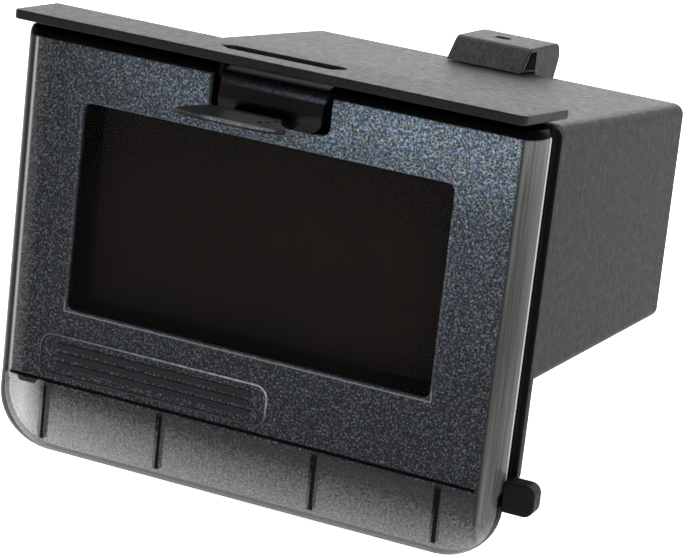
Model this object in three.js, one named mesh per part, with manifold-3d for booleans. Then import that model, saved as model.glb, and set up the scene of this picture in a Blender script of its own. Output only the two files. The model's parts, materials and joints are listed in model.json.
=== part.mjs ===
// A dash-mounted taxi meter: a tapered casing behind a front flange, a hood over a hinged see-through door,
// and the display, keypad, circuit boards and sockets that the casing holds.
// Millimetres. X is right, Y is back into the dashboard and Z is up. The origin is at the middle of the
// display's height and width, on the rear face of the flange, which sits against the dashboard.
import * as THREE from "three";
import { mergeVertices } from "three/addons/utils/BufferGeometryUtils.js";
import Module from "manifold-3d";

const wasm = await Module();
wasm.setup();

// ---- Driving dimensions -------------------------------------------------------------------------------
const GAP = 0.3; // between pieces that touch
const FLANGE = { half: 115.6, top: 70, bottom: -77.5, front: -5.5, rear: -0.4, radius: 5 };
// The flange rests on these pads, whose rear faces are at Y = 0.
const SEAT_PAD = { inner: 98, outer: 113, half: 58 };
const WINDOW = { half: 81, high: 43.7, radius: 3 };
const CASING = { half: 93, wall: 3, radius: 5, frontTop: 61.9, frontBottom: -54.4 };
const BACK = { topY: 230.2, topZ: 32.6, bottomY: 233.5, bottomZ: -69.9 };
const DOOR = {
  half: 112.8,
  top: 70.8,
  bottom: -110.5,
  front: -22.1,
  rear: -8.8,
  wall: 3,
  round: 13.3, // how far the lower edge rounds back
  flare: 7.1, // how far the sides lean out on their way back
  corner: 25,
};
const NOTCH = { half: 26.6, bottom: 51 };
const HINGE = { y: -8.4, z: -80.4, radius: 1.6 };
const HOOD = {
  frontY: -32.2,
  frontZ: 78.2,
  backY: 6.2,
  backZ: 74.7,
  thick: 3.9,
  left: -111.2,
  right: 109,
  back: 112.7,
};
const HOOD_SLOT = [[25.8, -9], [22.8, -6.2], [-24, -7.5], [-27.8, -12.5], [-22, -18], [22, -17.2]];
const RIBS = { xs: [-89, -35, 35, 89], thick: 2, deep: 3, top: -62 };
const LATCH = { half: 24, left: -21, y: -12.6, z: 67.5, barrel: 2.9, pin: 1.4 };
const CLIP_HALF = 18.6;
const KEYS = { count: 5, pitch: 29, width: 22, bottom: -64.5, top: -54.5, front: -13, flangeFront: -9 };
const SCREW = { headRadius: 3, headHeight: 2, shankRadius: 1.5, holeRadius: 1.8 };
const FLANGE_SCREWS = [[86, 50], [-86, 50], [86, -45], [-86, -45]];
const HOOD_SCREWS = [[-70, 65], [70, 65]];
const CLIP_SCREWS = [[-10, 24.5], [10, 24.5]];
const PLATE_SCREWS = [[-59, 21], [59, 21], [-59, -21], [59, -21]]; // from the middle of the back plate

// ---- Shape helpers ------------------------------------------------------------------------------------
const AXES = {
  // where a profile's own across, up and out directions point
  x: [new THREE.Vector3(0, 1, 0), new THREE.Vector3(0, 0, 1), new THREE.Vector3(1, 0, 0)],
  y: [new THREE.Vector3(1, 0, 0), new THREE.Vector3(0, 0, 1), new THREE.Vector3(0, -1, 0)],
  z: [new THREE.Vector3(1, 0, 0), new THREE.Vector3(0, 1, 0), new THREE.Vector3(0, 0, 1)],
};

function solid(geometry) {
  const bare = geometry.index ? geometry.toNonIndexed() : geometry.clone();
  bare.deleteAttribute("normal");
  bare.deleteAttribute("uv");
  const merged = mergeVertices(bare, 1e-3);
  return new wasm.Manifold(
    new wasm.Mesh({
      numProp: 3,
      vertProperties: merged.attributes.position.array,
      triVerts: new Uint32Array(merged.index.array),
    }),
  );
}

function join(...solids) {
  return solids.reduce((whole, next) => whole.add(next));
}

function cut(from, ...tools) {
  return tools.reduce((rest, tool) => rest.subtract(tool), from);
}

function box([x0, x1], [y0, y1], [z0, z1]) {
  const block = new THREE.BoxGeometry(x1 - x0, y1 - y0, z1 - z0);
  return solid(block.translate((x0 + x1) / 2, (y0 + y1) / 2, (z0 + z1) / 2));
}

// A profile drawn across the axis, from low to high along it.
function prism(axis, shape, low, high, curveSegments = 5) {
  const raw = new THREE.ExtrudeGeometry(shape, { depth: high - low, bevelEnabled: false, curveSegments });
  const start = axis === "y" ? -high : low;
  const place = new THREE.Matrix4().makeBasis(...AXES[axis]);
  return solid(raw.translate(0, 0, start).applyMatrix4(place));
}

function cylinder(axis, radius, low, high, [a, b], sides = 20) {
  const disc = new THREE.Shape().absarc(a, b, radius, 0, 2 * Math.PI);
  return prism(axis, disc, low, high, sides);
}

function polygon(points) {
  return new THREE.Shape(points.map(([a, b]) => new THREE.Vector2(a, b)));
}

// Holes along Y for screws, at one radius and between two depths.
function screwHoles(centres, radius, low, high) {
  return centres.map((centre) => cylinder("y", radius, low, high, centre, 6));
}

function roundedRect([x0, x1], [y0, y1], radius) {
  const quarter = Math.PI / 2;
  const shape = new THREE.Shape();
  shape.absarc(x1 - radius, y1 - radius, radius, 0, quarter);
  shape.absarc(x0 + radius, y1 - radius, radius, quarter, 2 * quarter);
  shape.absarc(x0 + radius, y0 + radius, radius, 2 * quarter, 3 * quarter);
  shape.absarc(x1 - radius, y0 + radius, radius, 3 * quarter, 4 * quarter);
  return shape;
}

// The copies of a solid on the left and on the right of X = 0.
function bothSides(make) {
  return join(make(1), make(-1));
}

function span(side, near, far) {
  return side > 0 ? [near, far] : [-far, -near];
}

const FINISHES = {
  casing: { color: 0x4a4948, roughness: 0.7, metalness: 0 },
  gloss: { color: 0x1b1c1e, roughness: 0.35, metalness: 0 },
  tint: { color: 0x5c626a, roughness: 0.4, metalness: 0, transparent: true, opacity: 0.75 },
  clear: { color: 0x2a2521, roughness: 0.08, metalness: 0, transparent: true, opacity: 0.45 },
  rubber: { color: 0x141414, roughness: 0.9, metalness: 0 },
  steel: { color: 0x9a9da0, roughness: 0.35, metalness: 1 },
  zinc: { color: 0x8a8d90, roughness: 0.5, metalness: 1 },
  board: { color: 0x1f5a35, roughness: 0.55, metalness: 0 },
  component: { color: 0x222326, roughness: 0.5, metalness: 0 },
  screen: { color: 0x15110f, roughness: 0.15, metalness: 0 },
  keycap: { color: 0x6b6e72, roughness: 0.6, metalness: 0 },
  aluminium: { color: 0xb4b7ba, roughness: 0.4, metalness: 1 },
};

const meter = new THREE.Group();

function addNode(name, made, finish, parent = meter) {
  const mesh = made.getMesh();
  const geometry = new THREE.BufferGeometry();
  geometry.setAttribute("position", new THREE.BufferAttribute(new Float32Array(mesh.vertProperties), 3));
  geometry.setIndex(new THREE.BufferAttribute(new Uint32Array(mesh.triVerts), 1));
  geometry.computeVertexNormals();
  const node = new THREE.Mesh(geometry, new THREE.MeshStandardMaterial(FINISHES[finish]));
  node.name = name;
  parent.add(node);
}

// ---- Casing -------------------------------------------------------------------------------------------
const BACK_TILT = Math.atan2(BACK.bottomY - BACK.topY, BACK.topZ - BACK.bottomZ);
const PLATE_Z = -20; // height of the back plate's middle
const backY = (z) => BACK.topY + ((BACK.bottomY - BACK.topY) * (BACK.topZ - z)) / (BACK.topZ - BACK.bottomZ);
const along = (y) => y / BACK.topY;
const roofZ = (y) => CASING.frontTop + (BACK.topZ - CASING.frontTop) * along(y);
const floorZ = (y) => CASING.frontBottom + (BACK.bottomZ - CASING.frontBottom) * (y / BACK.bottomY);

// A box that tapers with the casing's roof, floor and slanting back, set in by a wall on every side.
function taperedBlock(inset, front, back) {
  const half = CASING.half - inset;
  const rounded = roundedRect([-half, half], [0, 100], Math.max(CASING.radius - inset, 1));
  const raw = new THREE.ExtrudeGeometry(rounded, { depth: 1, bevelEnabled: false, curveSegments: 4 });
  raw.applyMatrix4(new THREE.Matrix4().makeBasis(...AXES.y));
  const points = raw.attributes.position;
  for (let i = 0; i < points.count; i += 1) {
    const atBack = points.getY(i) > -0.5;
    const share = points.getZ(i) / 100; // 0 at the floor and 1 at the roof
    const lowY = atBack ? back(BACK.bottomZ) : front;
    const highY = atBack ? back(BACK.topZ) : front;
    const low = floorZ(lowY) + inset;
    const high = roofZ(highY) - inset;
    const z = low + (high - low) * share;
    points.setZ(i, z);
    points.setY(i, atBack ? back(z) : front);
  }
  return solid(raw);
}

function casingBody() {
  const shell = cut(
    taperedBlock(0, GAP, (z) => backY(z)),
    taperedBlock(CASING.wall, -5, (z) => backY(z) - CASING.wall),
    box([-54, 54], [200, 245], [-42, 2]), // connector opening
  );
  const railSide = polygon([[10, floorZ(10) + 1], [150, floorZ(150) + 1], [150, -48.4], [10, -48.4]]);
  const rail = (side) => prism("x", railSide, ...span(side, 60, 65));
  const bosses = FLANGE_SCREWS.map((centre) => cylinder("y", 4.5, GAP, 22, centre, 8));
  const plateCentres = PLATE_SCREWS.map(([x, z]) => [x, PLATE_Z + z * Math.cos(BACK_TILT)]);
  return cut(
    join(shell, bothSides(rail), ...bosses),
    ...screwHoles(FLANGE_SCREWS, SCREW.holeRadius, -1, 18),
    ...screwHoles(CLIP_SCREWS, SCREW.holeRadius, 200, 245),
    ...screwHoles(plateCentres, SCREW.holeRadius + 0.1, 215, 245),
  );
}

function frontFlange() {
  const outline = roundedRect([-FLANGE.half, FLANGE.half], [FLANGE.bottom, FLANGE.top], FLANGE.radius);
  outline.holes.push(roundedRect([-80, 80], [-43, 43], 2));
  const plate = prism("y", outline, FLANGE.front, FLANGE.rear);
  const pad = (side) =>
    box(span(side, SEAT_PAD.inner, SEAT_PAD.outer), [FLANGE.rear - 0.2, 0], [-SEAT_PAD.half, SEAT_PAD.half]);
  const knuckle = (side) =>
    join(
      cylinder("x", 4, ...span(side, 100, 106.5), [HINGE.y, HINGE.z], 8),
      box(span(side, 100, 106.5), [HINGE.y - 4, FLANGE.front + 0.5], [HINGE.z, -71]),
    );
  const bore = (side) => cylinder("x", HINGE.radius + GAP, ...span(side, 95, 110), [HINGE.y, HINGE.z], 8);
  return cut(
    join(plate, bothSides(pad), bothSides(knuckle)),
    bothSides(bore),
    ...screwHoles(FLANGE_SCREWS, SCREW.holeRadius, -8, 2),
    ...screwHoles(FLANGE_SCREWS, SCREW.headRadius + 0.4, -8, -3),
    ...screwHoles(HOOD_SCREWS, SCREW.shankRadius + 0.1, -3.5, 2),
  );
}

// ---- Hood over the door -------------------------------------------------------------------------------
function hoodPlate() {
  const { frontY, frontZ, backY: rearY, backZ, thick, left, right, back } = HOOD;
  const side = polygon([[frontY, frontZ - thick], [rearY, backZ - thick], [rearY, backZ], [frontY, frontZ]]);
  const plan = new THREE.Shape();
  plan.moveTo(-back, rearY);
  plan.lineTo(left - 0.6, frontY + 4);
  plan.quadraticCurveTo(left, frontY, left + 4, frontY);
  plan.lineTo(right - 4, frontY);
  plan.quadraticCurveTo(right, frontY, right + 0.6, frontY + 4);
  plan.lineTo(back, rearY);
  plan.closePath();
  const plate = prism("x", side, -120, 120).intersect(prism("z", plan, 60, 90));
  const web = box([-108, 108], [-5.2, -0.3], [FLANGE.top + GAP, 72.5]);
  const rearTab = box([-96, 96], [GAP, 3.3], [63, 72.5]);
  const tabJoint = box([-96, 96], [-0.5, 3.3], [FLANGE.top + GAP, 72.5]);
  const lug = (s) => {
    const x = span(s, LATCH.half + 0.4, LATCH.half + 2.2);
    return join(
      box(x, [LATCH.y - 3.2, LATCH.y + 3.2], [64.2, 74]),
      box(x, [LATCH.y, FLANGE.front - GAP], [67, 74]),
      box(x, [FLANGE.front - 1, -4], [FLANGE.top + GAP, 74]),
    );
  };
  const pinBore = cylinder("x", LATCH.pin + GAP, -30, 30, [LATCH.y, LATCH.z], 8);
  return cut(
    join(plate, web, rearTab, tabJoint, bothSides(lug)),
    prism("z", polygon(HOOD_SLOT), 70, 82),
    pinBore,
    ...screwHoles(HOOD_SCREWS, SCREW.holeRadius, -2, 6),
  );
}

// ---- Door ---------------------------------------------------------------------------------------------
// The door's outer form, or its inner one set in by the wall: a tray whose sides lean out towards the back and
// whose lower edge rounds back.
function trayForm(inset, rearY) {
  const front = DOOR.front + inset;
  const depth = DOOR.round - inset;
  const low = DOOR.bottom + inset;
  const face = roundedRect(
    [-DOOR.half + DOOR.flare, DOOR.half - DOOR.flare],
    [DOOR.bottom + DOOR.flare, DOOR.top + 2],
    DOOR.corner - DOOR.flare,
  );
  const raw = new THREE.ExtrudeGeometry(face, {
    depth: 20,
    bevelThickness: depth,
    bevelSize: DOOR.flare - inset,
    bevelSegments: 5,
    curveSegments: 5,
  });
  const place = new THREE.Matrix4().makeBasis(...AXES.y);
  raw.applyMatrix4(place).translate(0, front + depth + 20, 0);
  const side = new THREE.Shape();
  side.absarc(front + depth, low + depth, depth, -Math.PI / 2, -Math.PI, true);
  side.lineTo(front - 1, low + depth);
  side.lineTo(front - 1, 200);
  side.lineTo(front + 40, 200);
  side.lineTo(front + 40, low);
  side.closePath();
  const limits = box([-200, 200], [front - 2, rearY], [-200, DOOR.top - inset]);
  return solid(raw).intersect(prism("x", side, -200, 200)).intersect(limits);
}

function doorCover() {
  const { front, rear, wall } = DOOR;
  const outer = trayForm(0, rear);
  const shell = cut(outer, trayForm(wall, rear + 2));
  const ribDepth = [front + 1, front + wall + RIBS.deep];
  const rib = (x) =>
    box([x - RIBS.thick / 2, x + RIBS.thick / 2], ribDepth, [DOOR.bottom + 1, RIBS.top]).intersect(outer);
  const earHeight = [HINGE.z - 4.5, HINGE.z + 4.5];
  const ear = (side) => box(span(side, 107.5, 110.5), [HINGE.y - 4.5, rear + 2.6], earHeight);
  const window = prism("y", roundedRect([-WINDOW.half, WINDOW.half], [-WINDOW.high, WINDOW.high], 3), -30, 0);
  const notch = prism("y", roundedRect([-NOTCH.half, NOTCH.half], [NOTCH.bottom, 90], 4), -30, 0);
  const pivot = cylinder("x", HINGE.radius + GAP, -120, 120, [HINGE.y, HINGE.z], 8);
  const badgeTrace = prism("y", roundedRect([-92, 13], [-73.5, -55], 6), front - 2, front + 0.6);
  const whole = join(shell, ...RIBS.xs.map(rib), bothSides(ear));
  return cut(whole, window, notch, pivot, badgeTrace);
}

function badgePlate() {
  const { front } = DOOR;
  const plate = prism("y", roundedRect([-91.7, 12.7], [-73.2, -55.3], 5.7), front - 0.5, front + GAP);
  const field = prism("y", roundedRect([-90, 11], [-71.5, -57], 4.2), front - 2, front - 0.1);
  const bar = (z) => box([-84, 5], [front - 0.5, front + 0.2], [z - 0.8, z + 0.8]);
  const bars = [-68.2, -64.2, -60.2].map(bar);
  return join(cut(plate, field), ...bars);
}

// ---- Latch --------------------------------------------------------------------------------------------
// The latch hangs from its pin as a tongue over the door's notch. Its finger lip sweeps out and up from the
// tongue's lower edge and widens like a fan.
function latchTongue() {
  const { y, z, barrel, half, left } = LATCH;
  const side = new THREE.Shape();
  side.moveTo(y, z + barrel);
  side.lineTo(-17.6, z + barrel - 0.2);
  side.quadraticCurveTo(-23.4, 68.2, -25.4, 60.5);
  side.quadraticCurveTo(-26, 57, -24.6, 55);
  side.lineTo(-24.6, 51.6);
  side.lineTo(-22.6, 51.6);
  side.lineTo(-22.6, 60.2);
  side.quadraticCurveTo(-20.6, 66.2, -17, 67);
  side.lineTo(y, z - barrel);
  side.closePath();
  const tongue = join(prism("x", side, left, half), cylinder("x", barrel, -half, half, [y, z], 8));
  const lipSide = polygon([
    [-23, 54.4], [-24.5, 54.9], [-37, 58.3], [-40, 58.7], [-57.2, 58.7], [-58.2, 58.2],
    [-58.2, 57.4], [-57, 56.9], [-39, 56.7], [-26, 52], [-23, 51.6],
  ]);
  const lipPlan = polygon([
    [-14, -22], [-14, -35], [-16.5, -38.5], [-22.3, -46.8], [-25.4, -53.4], [-24, -54.8], [-17.4, -56.9],
    [-7, -58.1], [4.1, -57.8], [13, -56.6], [18.5, -54.9], [21.2, -53], [15.7, -44.7], [12, -36.5], [12, -22],
  ]);
  const lip = prism("x", lipSide, -30, 30).intersect(prism("z", lipPlan, 45, 65));
  const dotCentres = [[8.6, -49.2], [10.9, -46.7], [12.8, -43.5]];
  const gripDots = dotCentres.map((centre) => cylinder("z", 0.9, 57.9, 60, centre, 6));
  const springRoom = box([-6, 6], [y - 3.3, y + 4], [60, 71]);
  const bore = cylinder("x", LATCH.pin + GAP, -30, 30, [y, z], 8);
  return cut(join(tongue, lip), bore, springRoom, ...gripDots);
}

function latchSpring() {
  const turns = 3;
  const path = new THREE.CatmullRomCurve3(
    Array.from({ length: turns * 12 + 1 }, (_, i) => {
      const angle = (i / 12) * 2 * Math.PI;
      const x = -4 + (8 * i) / (turns * 12);
      return new THREE.Vector3(x, LATCH.y + 2.4 * Math.cos(angle), LATCH.z + 2.4 * Math.sin(angle));
    }),
  );
  const wire = new THREE.Shape().absarc(0, 0, 0.4, 0, 2 * Math.PI);
  const raw = new THREE.ExtrudeGeometry(wire, { extrudePath: path, steps: turns * 14, curveSegments: 3 });
  return solid(raw);
}

// ---- Roof clip ----------------------------------------------------------------------------------------
function roofClip() {
  const outer = polygon([
    [211.8, roofZ(211.8) + GAP],
    [222.3, 45.3],
    [256.6, 42.6],
    [261, 41.6],
    [263.8, 37.8],
    [262.6, 33],
    [258.6, 25.3],
    [258.6, 20],
    [backY(20) + GAP, 20],
    [backY(32.6) + GAP, 32.6 + GAP],
  ]);
  const hollow = polygon([[215, roofZ(215) - 1], [222.6, 43.4], [230.4, 42.8], [230.8, 31]]);
  const railSlot = polygon([[244, 18], [249.5, 18], [249.5, 34], [244, 34]]);
  const block = prism("x", outer, -CLIP_HALF, CLIP_HALF);
  const window = box([-6, 1.5], [236.5, 243], [36, 50]);
  const bores = screwHoles(CLIP_SCREWS, SCREW.holeRadius, 225, 241);
  return cut(block, prism("x", hollow, -30, 30), prism("x", railSlot, -16, 16), window, ...bores);
}

// ---- Fasteners ----------------------------------------------------------------------------------------
// A screw along Y. Its head is on the side that facing points to, 1 for back and -1 for front.
function screw([x, z], headY, length, facing) {
  const { headRadius, headHeight, shankRadius } = SCREW;
  const ends = (a, b) => (a < b ? [a, b] : [b, a]);
  const head = cylinder("y", headRadius, ...ends(headY, headY + facing * headHeight), [x, z], 8);
  const shank = cylinder("y", shankRadius, ...ends(headY + facing * 0.5, headY - facing * length), [x, z], 6);
  const recess = box([x - 0.5, x + 0.5], ends(headY + facing * 1, headY + facing * 3), [z - 1.8, z + 1.8]);
  return cut(join(head, shank), recess);
}

// ---- Front inner pieces -------------------------------------------------------------------------------
function keyCentres() {
  return Array.from({ length: KEYS.count }, (_, i) => (i - (KEYS.count - 1) / 2) * KEYS.pitch);
}

function keypadFrame() {
  const outline = roundedRect([-78, 78], [KEYS.bottom - 2.7, KEYS.top + 2.7], 2.5);
  const block = prism("y", outline, -10.5, FLANGE.front - GAP);
  const recess = box([-76.5, 76.5], [-9.3, 0], [KEYS.bottom - 1.2, KEYS.top + 1.2]);
  const hole = (x) =>
    prism("y", roundedRect([x - 11.4, x + 11.4], [KEYS.bottom - 0.4, KEYS.top + 0.4], 1.5), -20, 0);
  return cut(block, recess, ...keyCentres().map(hole));
}

function keyCap(x) {
  const half = KEYS.width / 2;
  const cap = prism("y", roundedRect([x - half, x + half], [KEYS.bottom, KEYS.top], 1.2), KEYS.front, -8.4);
  const rimHeight = [KEYS.bottom - 0.8, KEYS.top + 0.8];
  const rim = box([x - half - 1.6, x + half + 1.6], [KEYS.flangeFront, -8.2], rimHeight);
  return join(cap, rim);
}

function doorSeal() {
  const outline = roundedRect([-108.6, 108.6], [-70.6, 66.4], 6);
  outline.holes.push(roundedRect([-105.8, 105.8], [-67.8, 63.6], 4));
  return prism("y", outline, -8.2, FLANGE.front - GAP);
}

function displayShroud() {
  const outer = prism("y", roundedRect([-84.4, 84.4], [-47, 47], 5), -18.4, FLANGE.front - GAP);
  const inner = prism("y", roundedRect([-WINDOW.half, WINDOW.half], [-WINDOW.high, WINDOW.high], 2.5), -20, 0);
  return cut(outer, inner);
}

// ---- Inside the casing --------------------------------------------------------------------------------
function chassisTray() {
  const outer = box([-80, 80], [12, 152], [-47.9, 34]);
  const inner = box([-78.8, 78.8], [13.2, 160], [-46.7, 40]);
  const postCentres = [[-70, 24], [70, 24], [-70, 140], [70, 140]];
  const posts = postCentres.map((centre) => cylinder("z", 3, -47, -40.3, centre, 6));
  return join(cut(outer, inner, box([-60, 60], [5, 20], [-30, 40])), ...posts);
}

function finnedHeatsink() {
  const base = box([20, 56], [60, 100], [-38.1, -35]);
  const fins = [0, 1, 2, 3, 4, 5].map((i) => box([21 + i * 6.4, 23 + i * 6.4], [60, 100], [-35.5, -20]));
  return join(base, ...fins);
}

// ---- Back plate and sockets, in the slanting frame of the casing's back ---------------------------------
const backFace = new THREE.Group();
backFace.position.set(0, backY(PLATE_Z), PLATE_Z);
backFace.rotation.x = BACK_TILT;
meter.add(backFace);

function rearPlate() {
  const outline = roundedRect([-64, 64], [-27, 27], 4);
  const plate = prism("y", outline, GAP, 2.8);
  const sockets = [box([-42.4, -9.6], [-1, 6], [-11.4, 11.4]), cylinder("y", 8.4, -1, 6, [38, 0], 8)];
  const dataHole = box([1.6, 22.4], [-1, 6], [-6.4, 6.4]);
  return cut(plate, ...sockets, dataHole, ...PLATE_SCREWS.map((at) => cylinder("y", 1.8, -1, 6, at, 6)));
}

function powerSocket() {
  const shell = cut(box([-42, -10], [-14, 12], [-11, 11]), box([-40, -12], [-2, 20], [-9, 9]));
  const pin = (x, z) => box([x - 0.8, x + 0.8], [-3, 8], [z - 0.8, z + 0.8]);
  const pins = [-34, -26, -18].flatMap((x) => [pin(x, -4), pin(x, 4)]);
  return join(shell, ...pins);
}

function dataSocket() {
  return cut(box([2, 22], [-12, 9], [-6, 6]), box([3.5, 20.5], [-6, 20], [-4.5, 4.5]));
}

function antennaJack() {
  const body = join(cylinder("y", 8, -8, 4.2, [38, 0], 8), cylinder("y", 5, 4, 13, [38, 0], 8));
  return cut(body, cylinder("y", 3, 5, 20, [38, 0], 8));
}

// ---- Assembly -----------------------------------------------------------------------------------------
addNode("casing_body", casingBody(), "casing");
addNode("front_flange", frontFlange(), "casing");
addNode("hood_plate", hoodPlate(), "casing");
addNode("roof_clip", roofClip(), "casing");

addNode("door_cover", doorCover(), "tint");
const pane = prism("y", roundedRect([-80.7, 80.7], [-43.4, 43.4], 2.7), DOOR.front + 0.6, DOOR.front + 2.8);
addNode("door_window", pane, "clear");
addNode("badge_plate", badgePlate(), "tint");

addNode("hinge_rod", cylinder("x", HINGE.radius, -114.6, 120, [HINGE.y, HINGE.z], 8), "steel");
const grip = prism("y", roundedRect([113.4, 127], [-85.2, -72.2], 3.6), -14.4, -5.9);
const gripBore = cylinder("x", HINGE.radius + GAP, 110, 120.5, [HINGE.y, HINGE.z], 8);
addNode("hinge_rod_grip", cut(grip, gripBore), "gloss");

addNode("latch_tongue", latchTongue(), "gloss");
addNode("latch_pin", cylinder("x", LATCH.pin, -26, 26, [LATCH.y, LATCH.z], 8), "steel");
addNode("latch_spring", latchSpring(), "steel");

addNode("door_seal", doorSeal(), "rubber");
addNode("display_shroud", displayShroud(), "gloss");
addNode("display_glass", prism("y", roundedRect([-79.6, 79.6], [-42.6, 42.6], 2), -5.2, -3.4), "screen");
addNode("lcd_panel", box([-79, 79], [-3.1, 6], [-42, 42]), "component");
addNode("keypad_frame", keypadFrame(), "gloss");
keyCentres().forEach((x, i) => addNode(`key_${i + 1}`, keyCap(x), "keycap"));
const keypadHeight = [KEYS.bottom - 0.9, KEYS.top + 0.9];
addNode("keypad_board", box([-76, 76], [-6.8, FLANGE.front - GAP], keypadHeight), "board");

addNode("chassis_tray", chassisTray(), "zinc");
addNode("main_board", box([-76, 76], [18, 148], [-40, -38.4]), "board");
addNode("power_converter", box([-66, -26], [92, 136], [-38.1, -14]), "component");
addNode("processor_heatsink", finnedHeatsink(), "aluminium");
addNode("backup_cell", cylinder("z", 10, -38.1, -34, [-50, 60], 12), "steel");
addNode("sounder", cylinder("z", 12, -38.1, -27, [10, 128], 12), "component");
addNode("fuse_carrier", box([40, 70], [118, 130], [-38.1, -28]), "component");
addNode("display_flex", box([-22, 22], [6.4, 6.8], [-36, 10]), "component");

addNode("rear_plate", rearPlate(), "zinc", backFace);
addNode("power_socket", powerSocket(), "component", backFace);
addNode("data_socket", dataSocket(), "component", backFace);
addNode("antenna_jack", antennaJack(), "steel", backFace);
PLATE_SCREWS.forEach((at, i) => addNode(`plate_screw_${i + 1}`, screw(at, 3.1, 8, 1), "zinc", backFace));

FLANGE_SCREWS.forEach((at, i) => addNode(`flange_screw_${i + 1}`, screw(at, -3.3, 18, -1), "zinc"));
HOOD_SCREWS.forEach((at, i) => addNode(`hood_screw_${i + 1}`, screw(at, 3.6, 6.6, 1), "zinc"));
CLIP_SCREWS.forEach((at, i) => addNode(`clip_screw_${i + 1}`, screw(at, 227.1, 12, -1), "zinc"));

export default meter;
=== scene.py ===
"""Looks for a dash-mounted taxi meter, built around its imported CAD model. Lengths are in millimetres until a
mesh is made. The finishes, the camera and the lamps are in metres."""
import json
import math

import bmesh
import bpy
from mathutils import Matrix, Vector
from mathutils.geometry import tessellate_polygon


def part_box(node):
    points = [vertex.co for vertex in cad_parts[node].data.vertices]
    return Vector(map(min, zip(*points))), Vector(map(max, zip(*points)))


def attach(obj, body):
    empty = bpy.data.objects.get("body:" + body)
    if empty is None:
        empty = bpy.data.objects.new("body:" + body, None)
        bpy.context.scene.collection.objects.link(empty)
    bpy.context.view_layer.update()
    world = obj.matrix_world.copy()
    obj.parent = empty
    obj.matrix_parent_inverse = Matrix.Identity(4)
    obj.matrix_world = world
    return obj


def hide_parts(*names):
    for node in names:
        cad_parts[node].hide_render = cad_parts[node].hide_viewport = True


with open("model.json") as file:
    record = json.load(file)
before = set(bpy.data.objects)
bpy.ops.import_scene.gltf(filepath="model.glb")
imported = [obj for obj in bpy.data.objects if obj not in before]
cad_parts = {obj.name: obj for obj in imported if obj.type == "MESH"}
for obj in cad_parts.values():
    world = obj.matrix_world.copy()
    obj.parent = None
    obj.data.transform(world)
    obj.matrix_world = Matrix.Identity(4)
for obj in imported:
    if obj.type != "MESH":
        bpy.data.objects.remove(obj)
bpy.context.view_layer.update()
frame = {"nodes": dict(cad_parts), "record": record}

MM = 0.001
STEPS = 4  # facets across a rounded edge
BEVEL_STEPS = 3  # facets across a softened edge
CORNER_STEPS = 10  # facets round a corner
SHARP_ANGLE = 40  # degrees between faces, above which an edge is shaded sharp
COPY_EDGE = 0.25  # width of the rounding on the edges of a piece copied from the CAD


def span(node):
    """A CAD node's lowest and highest corners, in millimetres."""
    low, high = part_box(node)
    return Vector(low) / MM, Vector(high) / MM


# ---- Mesh helpers ---------------------------------------------------------------------------------------
def rounded(a, b, radius, steps=CORNER_STEPS):
    """An outline with round corners between two opposite corners, anticlockwise. radius may be four numbers,
    from the high-high corner round to the low-high, low-low and high-low ones."""
    (a0, a1), (b0, b1) = a, b
    radii = [radius] * 4 if isinstance(radius, (int, float)) else radius
    spots = [(a1, b1, -1, -1), (a0, b1, 1, -1), (a0, b0, 1, 1), (a1, b0, -1, 1)]
    points = []
    for quarter, ((x, y, sx, sy), r) in enumerate(zip(spots, radii)):
        for i in range(steps + 1):
            angle = (quarter + i / steps) * math.pi / 2
            points.append((x + sx * r + r * math.cos(angle), y + sy * r + r * math.sin(angle)))
    return points


def arc_points(a, b, radius, angles):
    """Points round a centre, at angles in radians."""
    return [(a + radius * math.cos(t), b + radius * math.sin(t)) for t in angles]


def circle(a, b, radius, count=32):
    """A closed round outline."""
    return arc_points(a, b, radius, [2 * math.pi * i / count for i in range(count)])


def curve_points(start, control, end, steps=8):
    """Points along a quadratic curve, without its start."""
    out = []
    for i in range(1, steps + 1):
        t = i / steps
        out.append(tuple(
            (1 - t) ** 2 * s + 2 * t * (1 - t) * c + t * t * e for s, c, e in zip(start, control, end)
        ))
    return out


def inset(points, distance):
    """An outline moved to its left, which is inwards for an anticlockwise one."""
    moved = []
    count = len(points)
    for i, (x, y) in enumerate(points):
        ax, ay = points[i - 1]
        bx, by = points[(i + 1) % count]
        n1 = Vector((ay - y, x - ax)).normalized()
        n2 = Vector((y - by, bx - x)).normalized()
        if n1.length == 0:
            n1 = n2
        if n2.length == 0:
            n2 = n1
        bisector = (n1 + n2) / max(1 + n1.dot(n2), 0.3)
        moved.append((x + bisector.x * distance, y + bisector.y * distance))
    return moved


def clean(points):
    """An outline without points that repeat the one before."""
    return [p for i, p in enumerate(points) if (Vector(p) - Vector(points[i - 1])).length > 1e-6]


PLACES = {
    "x": lambda a, b, along: Vector((along, a, b)),
    "y": lambda a, b, along: Vector((a, along, b)),
    "z": lambda a, b, along: Vector((a, b, along)),
}


def make_object(name, bm):
    """A Blender object from a bmesh in millimetres."""
    bmesh.ops.remove_doubles(bm, verts=bm.verts, dist=1e-5)
    bmesh.ops.recalc_face_normals(bm, faces=bm.faces)
    mesh = bpy.data.meshes.new(name)
    bm.to_mesh(mesh)
    bm.free()
    mesh.transform(Matrix.Scale(MM, 4))
    piece = bpy.data.objects.new(name, mesh)
    bpy.context.scene.collection.objects.link(piece)
    return piece


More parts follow.
